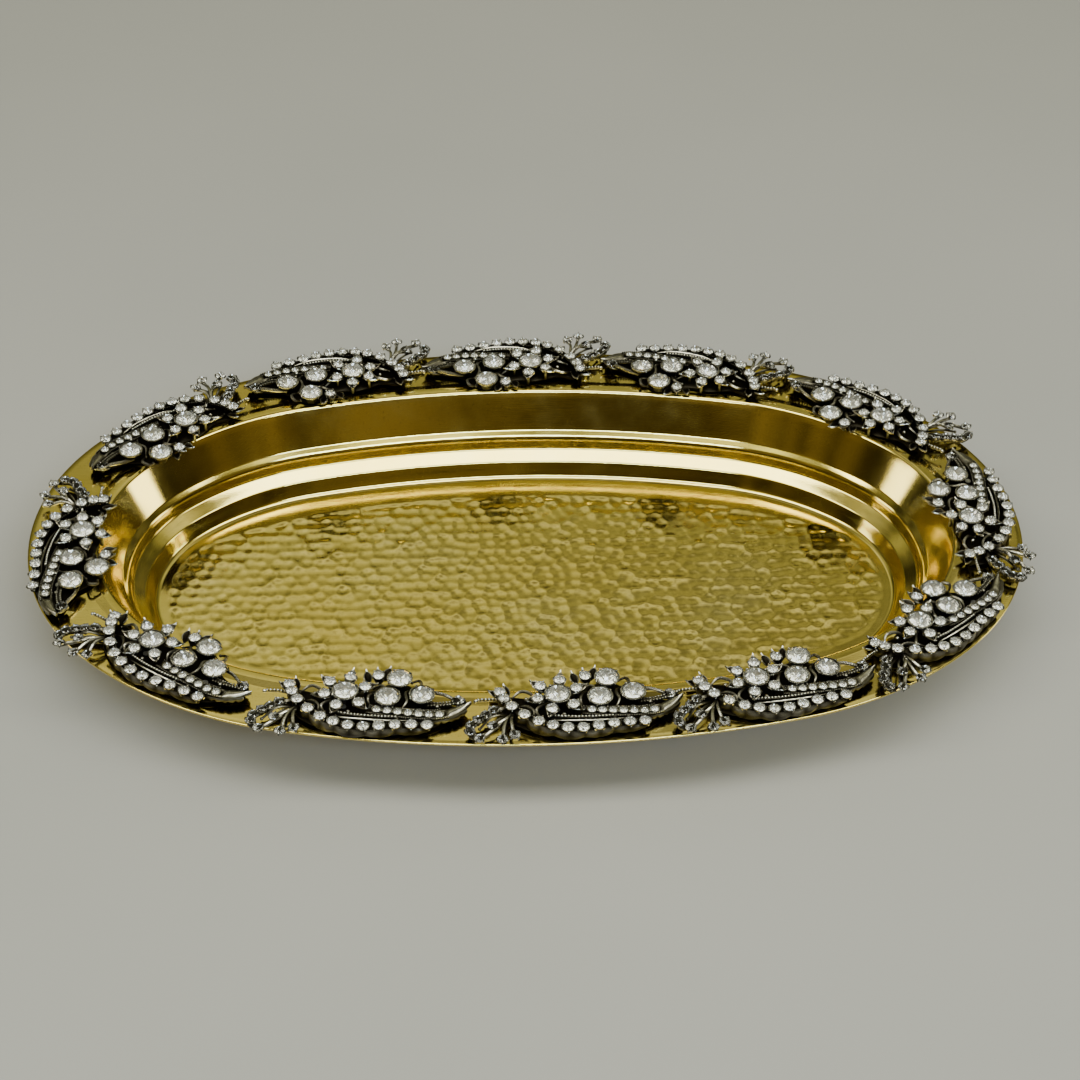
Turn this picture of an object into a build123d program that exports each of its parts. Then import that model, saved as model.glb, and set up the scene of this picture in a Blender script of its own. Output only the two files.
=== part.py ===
from build123d import *
import os
from math import atan2, cos, degrees, pi, radians, sin

os.makedirs("parts", exist_ok=True)

# An oval tray of thin brass sheet. Twelve identical castings set with crystals are screwed to its rim.
# Millimetres, +Z up, +X along the tray's length. The tray stands on its flat base at Z = 0.

# Oval outline of the rim: two end arcs, four shoulder arcs and two long side arcs, all tangent.
HALF_LENGTH = 225.0
HALF_WIDTH = 135.5
END_RADIUS = 111.5
SHOULDER_RADIUS = 168.0
END_ANGLE = radians(46)

# The sheet's section, as (distance in from the rim's edge, height of the upper face) and corner radii.
SHEET = 1.2
RIM_HEIGHT = 36.4
LIP_RISE = 0.8
WALL_TOP = 31.2
LEDGE_TOP = 43.8
FLOOR_EDGE = 54.3
FLOOR_JOIN = 62.0
SECTION = [
    (0.0, RIM_HEIGHT),
    (23.5, RIM_HEIGHT),
    (27.0, RIM_HEIGHT + LIP_RISE),
    (WALL_TOP, RIM_HEIGHT + LIP_RISE),
    (41.0, RIM_HEIGHT - 16.0),
    (LEDGE_TOP, RIM_HEIGHT - 18.5),
    (44.8, RIM_HEIGHT - 24.3),
    (50.6, RIM_HEIGHT - 28.0),
    (FLOOR_EDGE, SHEET),
    (FLOOR_JOIN, SHEET),
]
SECTION_RADII = [5.0, 3.0, 2.2, 4.0, 1.7, 1.8, 2.0, 3.0]

# Twelve castings stand evenly along a line inside the rim, each set by hand a little off its even place:
# along the rim, in from the rim, and turned (degrees).
SETTING_LINE = 21.0
FIRST_CASTING = 71.0
HAND_SET = [
    (-4, 3, 3), (-6, 0, 2), (-4, -1, -5), (-5, -3, 1), (-6, -4, -1), (-6, 3, 2),
    (4, 4, -9), (3, 0, 3), (6, -2, 4), (8, 0, 1), (6, -1, -1), (2, 0, 1),
]

# Stones of one casting: (along the rim, in from the rim, height of the girdle above the rim).
FLOWER = (0.0, SETTING_LINE, 9.0)
FLOWER_STONE_R = 4.7
LARGE = [(17.8, 19.8, 7.8), (21.9, 32.0, 6.9), (32.1, 22.4, 7.3)]
LARGE_STONE_R = 4.4
PETAL_RING = 8.8
PETAL_ANGLES = [22, 80, 142, 192, 250, 315]
PETAL_HEIGHT = 8.8
SCROLL = [
    (-23.9, 25.3, 7.3), (-22.5, 21.2, 7.6), (-19.7, 16.2, 7.8), (-14.7, 10.8, 8.0),
    (-9.1, 6.7, 7.8), (-3.4, 4.2, 7.6), (2.8, 2.8, 7.2), (9.2, 2.6, 7.0),
    (15.7, 3.4, 7.0), (22.2, 4.6, 6.8), (28.9, 5.6, 6.3), (35.4, 6.3, 5.7),
]
TRIM = [(12.8, 33.8, 6.4), (47.4, 21.8, 5.5)]
SMALL_STONE_R = 2.15
FAN_ROW = [(-27.2, 15.9, 6.2), (-30.6, 13.3, 6.0), (-34.0, 11.0, 5.8), (-37.0, 8.2, 5.6), (-37.8, 4.6, 5.4)]
FAN_TIPS = [(-34.1, 0.2, 5.8), (-24.8, -1.7, 6.5), (-19.4, 0.8, 6.2), (-28.2, 6.0, 7.0)]
FAN_STONE_R = 1.6
PAVE = [
    (13.8, 13.4, 6.4), (18.2, 12.9, 6.4), (22.6, 12.6, 6.3), (27.0, 12.3, 6.2),
    (31.4, 12.1, 6.0), (35.8, 12.2, 5.7), (40.1, 12.8, 5.6),
]
PAVE_STONE_R = 1.6

# The casting's metal: a pierced back plate, a gallery under the scroll, a leaf, pegs, bezels and wires.
PLATE_BOTTOM = 1.2
PLATE_TOP = 2.6
PLATE_OUTLINE = [
    (-27.5, 28.5), (-30.5, 18.0), (-20.0, 8.0), (-4.0, 0.8), (16.0, 0.2), (38.0, 4.0),
    (50.0, 20.0), (47.0, 25.0), (36.0, 28.5), (27.0, 37.5), (11.0, 37.5), (0.0, 33.5), (-14.0, 30.5),
]
PLATE_CORNER_R = 2.5
PIERCINGS = [(-10.5, 14.0, 2.4), (-14.5, 21.0, 2.6), (3.0, 8.5, 2.0), (10.5, 8.0, 2.2), (25.0, 18.6, 1.6)]
LEAF_TIP = (52.3, 20.5)
LEAF_ROOT_OUTER = (10.5, 10.9)
LEAF_ROOT_INNER = (10.5, 15.9)
LEAF_BELLY_OUTER = (34.0, 9.4)
LEAF_BELLY_INNER = (34.0, 15.0)
LEAF_BOTTOM = 2.2
LEAF_TOP = 4.2
GALLERY = [(-24.5, 27.0), (-22.5, 18.0), (-12.0, 7.5), (6.0, 1.9), (22.0, 4.6), (37.5, 6.6)]
GALLERY_CORNER_R = 9.0
GALLERY_TOP = 4.0
RIDGE = [(-1.5, 8.4), (9.0, 7.6), (21.0, 8.2)]
RIDGE_CORNER_R = 12.0
RIDGE_TOP = 5.6
RAIL = [(-20.5, 18.0), (-34.0, 11.5), (-38.5, 7.5), (-37.6, 3.6)]
RAIL_CORNER_R = 1.8
RAIL_BOTTOM = 2.8
WALL_WIDTH = 1.8
BEZEL_WALL = 0.8
BEZEL_LIP = 0.3
PEG_R = 1.1
WIRE_R = 0.85
FAN_ROOT = (-19.5, 15.0, 3.4)
SPUR = ((-22.0, 22.5, 3.4), (-33.0, 22.7, 4.2))
STEM = ((33.0, 22.4, 3.2), (47.4, 21.8, 2.8))

# Stones: girdle thickness, then crown and pavilion as shares of the radius.
GIRDLE = 0.08
CROWN = 0.34
PAVILION = 0.68
TABLE = 0.58
CULET = 0.2

# Fixing screws from below, two to a casting, under the flower and under the third large stone.
SCREW_PLACES = [(-0.5, 17.0), (31.5, 16.5)]
SCREW_R = 1.25
SCREW_LENGTH = 4.6
SCREW_HEAD_R = 2.3
SCREW_HEAD = 1.5
RIM_HOLE_R = 1.4
BOSS_R = 2.3
BOSS_TOP = 4.2
BORE_CLEARANCE = 0.02
BORE_SPARE = 0.3
SLOT_WIDTH = 0.6
SLOT_DEPTH = 0.5


def oval_arcs():
    """The oval's arcs, anticlockwise from the right end: (centre x, centre y, radius, start, stop)."""
    end_x = HALF_LENGTH - END_RADIUS
    reach = END_RADIUS - SHOULDER_RADIUS
    shoulder_x = end_x + reach * cos(END_ANGLE)
    shoulder_y = reach * sin(END_ANGLE)
    drop = HALF_WIDTH - shoulder_y
    side_radius = (shoulder_x**2 + drop**2 - SHOULDER_RADIUS**2) / (2 * (drop - SHOULDER_RADIUS))
    side_y = HALF_WIDTH - side_radius
    side_angle = atan2(shoulder_y - side_y, shoulder_x)
    a, b = END_ANGLE, side_angle
    return [
        (end_x, 0.0, END_RADIUS, -a, a),
        (shoulder_x, shoulder_y, SHOULDER_RADIUS, a, b),
        (0.0, side_y, side_radius, b, pi - b),
        (-shoulder_x, shoulder_y, SHOULDER_RADIUS, pi - b, pi - a),
        (-end_x, 0.0, END_RADIUS, pi - a, pi + a),
        (-shoulder_x, -shoulder_y, SHOULDER_RADIUS, pi + a, pi + b),
        (0.0, -side_y, side_radius, pi + b, 2 * pi - b),
        (shoulder_x, -shoulder_y, SHOULDER_RADIUS, 2 * pi - b, 2 * pi - a),
    ]


ARCS = oval_arcs()


def setting_angle(distance):
    """Direction of the rim's normal at a distance along the setting line."""
    for _, _, radius, start, stop in ARCS:
        length = (radius - SETTING_LINE) * (stop - start)
        if distance <= length:
            return start + distance / (radius - SETTING_LINE)
        distance -= length
    return ARCS[-1][4]


def rim_point(angle):
    """Point of the rim's edge where its normal has this direction."""
    turn = (angle - ARCS[0][3]) % (2 * pi) + ARCS[0][3]
    for x, y, radius, start, stop in ARCS:
        if start <= turn <= stop:
            return x + radius * cos(turn), y + radius * sin(turn)
    raise ValueError(angle)


def casting_places():
    """Where each casting goes: its frame has X along the rim, Y in from the rim and Z up."""
    length = sum((radius - SETTING_LINE) * (stop - start) for _, _, radius, start, stop in ARCS)
    pitch = length / len(HAND_SET)
    places = []
    for number, (along, inward, turn) in enumerate(HAND_SET):
        angle = setting_angle(FIRST_CASTING + number * pitch + along)
        x, y = rim_point(angle)
        to_rim = Location((x, y, RIM_HEIGHT), (0, 0, degrees(angle) + 90))
        about_flower = Pos(0, SETTING_LINE + inward) * Rot(0, 0, turn) * Pos(0, -SETTING_LINE)
        places.append(to_rim * about_flower)
    return places


def sheet_segment(x, y, radius, start, stop):
    """The sheet's section swept round one arc of the oval."""
    points = [(radius - inset, height) for inset, height in SECTION]
    upper = FilletPolyline(*points, radius=SECTION_RADII)
    band = make_face(Plane.XZ * offset(upper, amount=SHEET, side=Side.LEFT))
    swept = revolve(band, axis=Axis.Z, revolution_arc=degrees(stop - start))
    return Pos(x, y) * Rot(0, 0, degrees(start)) * swept


def floor_plate():
    """The flat of the base, inside the swept section."""
    edges = []
    for x, y, radius, start, stop in ARCS:
        inner = radius - FLOOR_JOIN
        edges.append(CenterArc((x, y), inner, degrees(start), degrees(stop - start)))
    return extrude(make_face(edges), SHEET)


def tray_pan(places):
    """The whole pan, with a clearance hole for every fixing screw."""
    pan = floor_plate() + [sheet_segment(*arc) for arc in ARCS]
    hole = Pos(0, 0, -SHEET / 2) * Cylinder(RIM_HOLE_R, 3 * SHEET)
    holes = [place * Pos(*spot) * hole for place in places for spot in SCREW_PLACES]
    return pan - holes


def stone(radius):
    """One round stone: flat table, crown, girdle, pavilion and a small flat culet, girdle at Z = 0."""
    half_girdle = radius * GIRDLE / 2
    points = [
        (0, -half_girdle - radius * PAVILION),
        (radius * CULET, -half_girdle - radius * PAVILION),
        (radius, -half_girdle),
        (radius, half_girdle),
        (radius * TABLE, half_girdle + radius * CROWN),
        (0, half_girdle + radius * CROWN),
    ]
    return revolve(make_face(Plane.XZ * Polyline(*points, close=True)), axis=Axis.Z)


def petals():
    """Places of the six small stones round the flower's large one."""
    spots = []
    for angle in PETAL_ANGLES:
        along = FLOWER[0] + PETAL_RING * cos(radians(angle))
        inward = FLOWER[1] + PETAL_RING * sin(radians(angle))
        spots.append((along, inward, PETAL_HEIGHT))
    return spots


def stone_groups():
    """Every stone of a casting, by node: (radius, places)."""
    return {
        "crystals_large": [(FLOWER_STONE_R, [FLOWER]), (LARGE_STONE_R, LARGE)],
        "crystals_small": [(SMALL_STONE_R, petals() + SCROLL + TRIM), (FAN_STONE_R, FAN_ROW + FAN_TIPS)],
        "crystals_pave": [(PAVE_STONE_R, PAVE)],
    }


def seat_floor(radius, height):
    """Height of the culet, where the stone rests in its cup."""
    return height - radius * (GIRDLE / 2 + PAVILION)


def peg(radius, spot, foot):
    """A peg under one small stone, from foot up to the stone's culet."""
    x, y, height = spot
    return Pos(x, y, foot) * extrude(Circle(PEG_R), seat_floor(radius, height) - foot)


def bezel(radius, spot):
    """A solid cup for one large stone, down to the plate."""
    x, y, height = spot
    return Pos(x, y, PLATE_BOTTOM) * extrude(Circle(radius + BEZEL_WALL), height + BEZEL_LIP - PLATE_BOTTOM)


def bezel_pocket(radius, spot):
    """The round pocket that a large stone stands in."""
    x, y, height = spot
    floor = seat_floor(radius, height)
    return Pos(x, y, floor) * extrude(Circle(radius + BORE_CLEARANCE), height + 2 * BEZEL_LIP - floor)


def wall(points, corner, low, high):
    """An upright wall of one width along straight runs with rounded corners."""
    outline = trace(FilletPolyline(*points, radius=corner), line_width=WALL_WIDTH)
    return Pos(0, 0, low) * extrude(outline, high - low)


def wire(start, stop):
    """A straight round wire."""
    run = Vector(*stop) - Vector(*start)
    return extrude(Plane(origin=start, z_dir=run) * Circle(WIRE_R), run.length)


def plate():
    """The pierced back plate, clear of the rim's lip."""
    outline = FilletPolyline(*PLATE_OUTLINE, radius=PLATE_CORNER_R, close=True)
    sheet = extrude(make_face(outline), PLATE_TOP - PLATE_BOTTOM)
    holes = [Pos(x, y, 0) * extrude(Circle(radius), PLATE_TOP) for x, y, radius in PIERCINGS]
    return Pos(0, 0, PLATE_BOTTOM) * (sheet - holes)


def leaf():
    """The plain crescent leaf that carries the pave stones."""
    edges = [
        ThreePointArc(LEAF_ROOT_OUTER, LEAF_BELLY_OUTER, LEAF_TIP),
        ThreePointArc(LEAF_TIP, LEAF_BELLY_INNER, LEAF_ROOT_INNER),
        Line(LEAF_ROOT_INNER, LEAF_ROOT_OUTER),
    ]
    return Pos(0, 0, LEAF_BOTTOM) * extrude(make_face(edges), LEAF_TOP - LEAF_BOTTOM)


def fan():
    """The fan at the casting's trailing end: a curved rail and wires that end in stones."""
    solids = [wall(RAIL, RAIL_CORNER_R, RAIL_BOTTOM, GALLERY_TOP), wire(*SPUR)]
    solids += [peg(FAN_STONE_R, spot, RAIL_BOTTOM) for spot in FAN_ROW]
    for x, y, height in FAN_TIPS:
        tip = (x, y, seat_floor(FAN_STONE_R, height) - WIRE_R)
        solids.append(wire(FAN_ROOT, tip))
        solids.append(peg(FAN_STONE_R, (x, y, height), tip[2] - WIRE_R))
    return solids


def casting():
    """One ornament casting, in its own frame, with its two screw bosses standing on the rim."""
    solids = [leaf(), wall(GALLERY, GALLERY_CORNER_R, PLATE_BOTTOM, GALLERY_TOP), *fan(), wire(*STEM)]
    solids.append(wall(RIDGE, RIDGE_CORNER_R, PLATE_BOTTOM, RIDGE_TOP))
    solids += [peg(SMALL_STONE_R, spot, PLATE_BOTTOM) for spot in petals() + SCROLL + TRIM]
    solids += [peg(PAVE_STONE_R, spot, PLATE_BOTTOM) for spot in PAVE]
    solids += [Pos(x, y, 0) * extrude(Circle(BOSS_R), BOSS_TOP) for x, y in SCREW_PLACES]
    set_large = [(FLOWER_STONE_R, FLOWER)] + [(LARGE_STONE_R, spot) for spot in LARGE]
    solids += [bezel(radius, spot) for radius, spot in set_large]
    cuts = [bezel_pocket(radius, spot) for radius, spot in set_large]
    bore_depth = SCREW_LENGTH - SHEET + BORE_SPARE
    cuts += [Pos(x, y, 0) * extrude(Circle(SCREW_R + BORE_CLEARANCE), bore_depth) for x, y in SCREW_PLACES]
    return plate() + solids - cuts


def screw():
    """A small pan-head screw, its head against the rim's underside and its shank up into a boss."""
    shank = Pos(0, 0, -SHEET) * extrude(Circle(SCREW_R), SCREW_LENGTH)
    head = Pos(0, 0, -SHEET - SCREW_HEAD) * extrude(Circle(SCREW_HEAD_R), SCREW_HEAD)
    head = fillet(head.edges().group_by(Axis.Z)[0], SCREW_HEAD * 0.5)
    slot = Pos(0, 0, -SHEET - SCREW_HEAD) * Box(3 * SCREW_HEAD_R, SLOT_WIDTH, 2 * SLOT_DEPTH)
    return shank + (head - slot)


def main():
    places = casting_places()
    nodes = {"tray_pan": [tray_pan(places)]}
    one_casting = casting()
    stones = {
        name: [Pos(*spot) * stone(radius) for radius, spots in groups for spot in spots]
        for name, groups in stone_groups().items()
    }
    for number, place in enumerate(places, 1):
        nodes[f"ornament_casting_{number:02d}"] = [place * one_casting]
        for name, group in stones.items():
            nodes[f"{name}_{number:02d}"] = [place * one for one in group]
    one_screw = screw()
    nodes["ornament_screws"] = [place * Pos(*spot) * one_screw for place in places for spot in SCREW_PLACES]

    # The frame's origin is under the centre of the whole object's box, castings included.
    box = Compound([one for group in nodes.values() for one in group]).bounding_box()
    shift = Pos(-box.center().X, -box.center().Y, 0)
    for name, group in nodes.items():
        solids = [shift * solid for one in group for solid in one.solids()]
        node = Compound(children=solids) if len(solids) > 1 else solids[0]
        node.label = name
        export_step(node, f"parts/{name}.step")


main()
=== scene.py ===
from math import atan2, ceil, cos, pi, radians, sin

import bmesh
import bpy
import numpy as np
from mathutils import Matrix, Vector
from mathutils.geometry import delaunay_2d_cdt


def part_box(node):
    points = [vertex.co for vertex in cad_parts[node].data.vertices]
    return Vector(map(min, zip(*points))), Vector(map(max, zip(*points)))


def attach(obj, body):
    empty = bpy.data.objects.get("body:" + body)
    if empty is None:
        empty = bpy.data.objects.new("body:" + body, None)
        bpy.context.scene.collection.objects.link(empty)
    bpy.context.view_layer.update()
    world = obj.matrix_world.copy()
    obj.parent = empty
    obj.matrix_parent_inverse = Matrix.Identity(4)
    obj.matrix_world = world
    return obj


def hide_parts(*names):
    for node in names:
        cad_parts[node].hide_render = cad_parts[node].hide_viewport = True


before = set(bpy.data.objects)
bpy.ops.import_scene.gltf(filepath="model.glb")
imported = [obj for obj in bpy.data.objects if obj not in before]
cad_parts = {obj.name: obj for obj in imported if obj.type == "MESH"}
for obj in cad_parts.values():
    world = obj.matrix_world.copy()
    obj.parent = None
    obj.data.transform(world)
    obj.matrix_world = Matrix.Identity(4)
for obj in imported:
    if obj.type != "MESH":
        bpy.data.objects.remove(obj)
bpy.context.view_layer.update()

MM = 0.001
PAN_LOW, PAN_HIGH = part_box("tray_pan")

# ---------------------------------------------------------------------------
# The oval rim and the sheet's section. Lengths in this part of the file are in millimetres.
# ---------------------------------------------------------------------------
HALF_LENGTH = (PAN_HIGH[0] - PAN_LOW[0]) / 2 / MM
HALF_WIDTH = (PAN_HIGH[1] - PAN_LOW[1]) / 2 / MM
CENTRE_X = (PAN_HIGH[0] + PAN_LOW[0]) / 2 / MM
CENTRE_Y = (PAN_HIGH[1] + PAN_LOW[1]) / 2 / MM
END_RADIUS = 111.5
SHOULDER_RADIUS = 168.0
END_ANGLE = radians(46)

SHEET = 1.2
LIP_RISE = 0.8
RIM_HEIGHT = PAN_HIGH[2] / MM - LIP_RISE
FLOOR_EDGE = 54.3
FLOOR_JOIN = 57.0
SECTION = [
    (0.0, RIM_HEIGHT),
    (23.5, RIM_HEIGHT),
    (27.0, RIM_HEIGHT + LIP_RISE),
    (31.2, RIM_HEIGHT + LIP_RISE),
    (41.0, RIM_HEIGHT - 16.0),
    (43.9, RIM_HEIGHT - 18.9),
    (44.8, RIM_HEIGHT - 24.3),
    (50.6, RIM_HEIGHT - 28.0),
    (FLOOR_EDGE, SHEET),
    (FLOOR_JOIN, SHEET),
]
SECTION_RADII = [5.0, 3.0, 2.2, 4.0, 6.0, 1.8, 2.0, 3.0]
RIM_EDGE = [
    (0.6, RIM_HEIGHT - SHEET),
    (0.3, RIM_HEIGHT - 0.93 * SHEET),
    (0.08, RIM_HEIGHT - 0.75 * SHEET),
    (0.0, RIM_HEIGHT - 0.5 * SHEET),
    (0.08, RIM_HEIGHT - 0.25 * SHEET),
    (0.3, RIM_HEIGHT - 0.07 * SHEET),
    (0.6, RIM_HEIGHT),
]
PAN_COLUMNS = 540

# The rim's slight waves, as (count, phase, height), and the insets between which they fade.
RIM_WAVES = [(5, 0.6, 0.05), (11, 0.0, 0.04)]
WAVE_FADE = (23.0, 31.0)

# Hammer marks on the floor: spacing, scatter, ranges of size and depth, and the ridges between them.
DENT_ROW = 5.9
DENT_STEP = 6.3
DENT_SCATTER = (0.95, 0.85)
DENT_RADIUS = 4.3
DENT_SIZES = (0.78, 1.15)
DENT_DEPTH = 0.31
DENT_STRIKES = (0.75, 1.15)
RIDGE_SHARPNESS = 24.0
RIDGE_TOP = 0.22

# The floor's mesh, and the plain border round the marks: its inset along the sides and at the ends, and
# how far from the middle it changes from one to the other.
FLOOR_GRID = 1.2
GRID_ROW = 0.866 * FLOOR_GRID
JOIN_GAP = 0.9
PLAIN_BORDER = [67.5, 59.5]
BORDER_TURN = [118.0, 152.0]
BORDER_FADE = 2.5


def oval_arcs():
    """The rim's arcs, anticlockwise from the right end: (centre x, centre y, radius, start, stop)."""
    end_x = HALF_LENGTH - END_RADIUS
    reach = END_RADIUS - SHOULDER_RADIUS
    shoulder_x = end_x + reach * cos(END_ANGLE)
    shoulder_y = reach * sin(END_ANGLE)
    drop = HALF_WIDTH - shoulder_y
    side_radius = (shoulder_x**2 + drop**2 - SHOULDER_RADIUS**2) / (2 * (drop - SHOULDER_RADIUS))
    side_y = HALF_WIDTH - side_radius
    a, b = END_ANGLE, atan2(shoulder_y - side_y, shoulder_x)
    return [
        (end_x, 0.0, END_RADIUS, -a, a),
        (shoulder_x, shoulder_y, SHOULDER_RADIUS, a, b),
        (0.0, side_y, side_radius, b, pi - b),
        (-shoulder_x, shoulder_y, SHOULDER_RADIUS, pi - b, pi - a),
        (-end_x, 0.0, END_RADIUS, pi - a, pi + a),
        (-shoulder_x, -shoulder_y, SHOULDER_RADIUS, pi + a, pi + b),
        (0.0, -side_y, side_radius, pi + b, 2 * pi - b),
        (shoulder_x, -shoulder_y, SHOULDER_RADIUS, 2 * pi - b, 2 * pi - a),
    ]


ARCS = oval_arcs()


def rim_stations(count):
    """Evenly spaced places round the rim: arrays of arc centre x, centre y, radius and normal angle."""
    total = sum(radius * (stop - start) for _, _, radius, start, stop in ARCS)
    rows = []
    for number in range(count):
        distance = total * number / count
        for x, y, radius, start, stop in ARCS:
            length = radius * (stop - start)
            if distance < length:
                rows.append((x, y, radius, start + distance / radius))
                break
            distance -= length
    return np.array(rows).T


def ring(stations, inset):
    """Plan points of the outline at a distance in from the rim's edge."""
    x, y, radius, angle = stations
    reach = radius - inset
    return np.stack([CENTRE_X + x + reach * np.cos(angle), CENTRE_Y + y + reach * np.sin(angle)], axis=1)


def inset_of(points):
    """How far in from the rim's edge plan points are."""
    x = np.abs(points[:, 0] - CENTRE_X)
    y = np.abs(points[:, 1] - CENTRE_Y)
    result = np.full(len(points), -1e9)
    for cx, cy, radius, start, stop in ARCS[:3]:
        angle = np.arctan2(y - cy, x - cx)
        inside = (angle >= start - 1e-6) & (angle <= min(stop, pi / 2) + 1e-6)
        result = np.where(inside & (result < -1e8), radius - np.hypot(x - cx, y - cy), result)
    return result


def rounded(points, radii, arc_steps=7, run_step=3.5):
    """A polyline with its corners rounded, finely divided."""
    points = [Vector(p) for p in points]
    line = [points[0]]
    for before, corner, after, radius in zip(points, points[1:], points[2:], radii):
        back, ahead = (before - corner).normalized(), (after - corner).normalized()
        half = back.angle(ahead) / 2
        reach = radius / np.tan(half)
        first, last = corner + back * reach, corner + ahead * reach
        centre = corner + (back + ahead).normalized() * radius / sin(half)
        begin, end = first - centre, last - centre
        turn = begin.angle_signed(end)
        runs = max(1, ceil((first - line[-1]).length / run_step))
        line += [line[-1].lerp(first, k / runs) for k in range(1, runs + 1)]
        for k in range(1, arc_steps + 1):
            line.append(centre + Matrix.Rotation(-turn * k / arc_steps, 2) @ begin)
    line.append(points[-1])
    return [tuple(p) for p in line]


def underside(line):
    """The same line moved one sheet thickness to the sheet's lower side."""
    result = []
    for number, point in enumerate(line):
        before = Vector(line[max(number - 1, 0)])
        after = Vector(line[min(number + 1, len(line) - 1)])
        along = (after - before).normalized()
        result.append((point[0] + along[1] * SHEET, point[1] - along[0] * SHEET))
    return result


def hammered(points):
    """Height of the hammered floor at plan points: shallow dents in loose rows, soft ridges between."""
    rng = np.random.default_rng(7)
    total = np.full(len(points), np.exp(-RIDGE_SHARPNESS * RIDGE_TOP))
    rows = int(2 * HALF_WIDTH / DENT_ROW)
    for row in range(rows):
        y0 = CENTRE_Y + (row - rows / 2) * DENT_ROW
        band = np.flatnonzero(np.abs(points[:, 1] - y0) < 2 * DENT_ROW)
        near = points[band]
        summed = total[band]
        phase = rng.uniform(0, DENT_STEP)
        for step in range(int(2 * HALF_LENGTH / DENT_STEP)):
            x = CENTRE_X - HALF_LENGTH + step * DENT_STEP + phase + rng.normal(0, DENT_SCATTER[0])
            y = y0 + rng.normal(0, DENT_SCATTER[1])
            radius = DENT_RADIUS * rng.uniform(*DENT_SIZES)
            strike = DENT_DEPTH * rng.uniform(*DENT_STRIKES)
            away = ((near[:, 0] - x) ** 2 + (near[:, 1] - y) ** 2) / radius**2
            summed += np.exp(-RIDGE_SHARPNESS * strike * (away - 1))
        total[band] = summed
    height = -np.log(total) / RIDGE_SHARPNESS
    border = np.interp(np.abs(points[:, 0] - CENTRE_X), BORDER_TURN, PLAIN_BORDER)
    fade = np.clip((inset_of(points) - border) / BORDER_FADE, 0, 1)
    return height * fade * fade * (3 - 2 * fade)


def sheet_sides(stations):
    """All but the floor: rings of points from under the base, out round the rim's edge and down inside."""
    upper = rounded(SECTION, SECTION_RADII)
    lower = underside(rounded(SECTION, SECTION_RADII, arc_steps=3, run_step=8.0))
    rows = lower[:0:-1] + RIM_EDGE + upper[1:]
    waves = sum(height * np.sin(count * stations[3] + phase) for count, phase, height in RIM_WAVES)
    verts, faces = [], []
    for inset, height in rows:
        plan = ring(stations, inset)
        share = min(max((WAVE_FADE[1] - inset) / (WAVE_FADE[1] - WAVE_FADE[0]), 0), 1)
        verts += [(x, y, height + share * wave) for (x, y), wave in zip(plan, waves)]
    for row in range(len(rows) - 1):
        for column in range(PAN_COLUMNS):
            after = (column + 1) % PAN_COLUMNS
            a, b = row * PAN_COLUMNS + column, row * PAN_COLUMNS + after
            faces.append((a, b, b + PAN_COLUMNS, a + PAN_COLUMNS))
    faces.append(tuple(range(PAN_COLUMNS)))
    return verts, faces


def floor_points():
    """Inner points of the floor's mesh, in even staggered rows, clear of its border."""
    rows = []
    y = -HALF_WIDTH
    number = 0
    while y < HALF_WIDTH:
        x = np.arange(-HALF_LENGTH, HALF_LENGTH, FLOOR_GRID) + (number % 2) * FLOOR_GRID / 2
        rows.append(np.stack([CENTRE_X + x, np.full(len(x), CENTRE_Y + y)], axis=1))
        y += GRID_ROW
        number += 1
    points = np.concatenate(rows)
    return points[inset_of(points) > FLOOR_JOIN + JOIN_GAP]


def floor_field(stations):
    """The hammered floor's points and triangles. Its first points are the ring where it joins the sides."""
    plan = [Vector(p) for p in np.concatenate([ring(stations, FLOOR_JOIN), floor_points()])]
    edges = [(i, (i + 1) % PAN_COLUMNS) for i in range(PAN_COLUMNS)]
    points, _, triangles, _, _, _ = delaunay_2d_cdt(plan, edges, [], 1, 1e-6)
    heights = hammered(np.array([tuple(p) for p in points]))
    return [(p.x, p.y, SHEET + height) for p, height in zip(points, heights)], triangles


def pan_mesh():
    """The whole pan as one closed mesh."""
    stations = rim_stations(PAN_COLUMNS)
    verts, faces = sheet_sides(stations)
    field, triangles = floor_field(stations)
    shift = len(verts) - PAN_COLUMNS
    verts += field[PAN_COLUMNS:]
    faces += [(a + shift, b + shift, c + shift) for a, b, c in triangles]
    return verts, faces


# ---------------------------------------------------------------------------
# Mesh building in millimetres: a sculptor's kit of closed shells gathered into one mesh.
# ---------------------------------------------------------------------------
RUBBED, DARK = 0, 1
GLASS, FOIL = 0, 1
BEAD_POLE = 0.08


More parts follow.
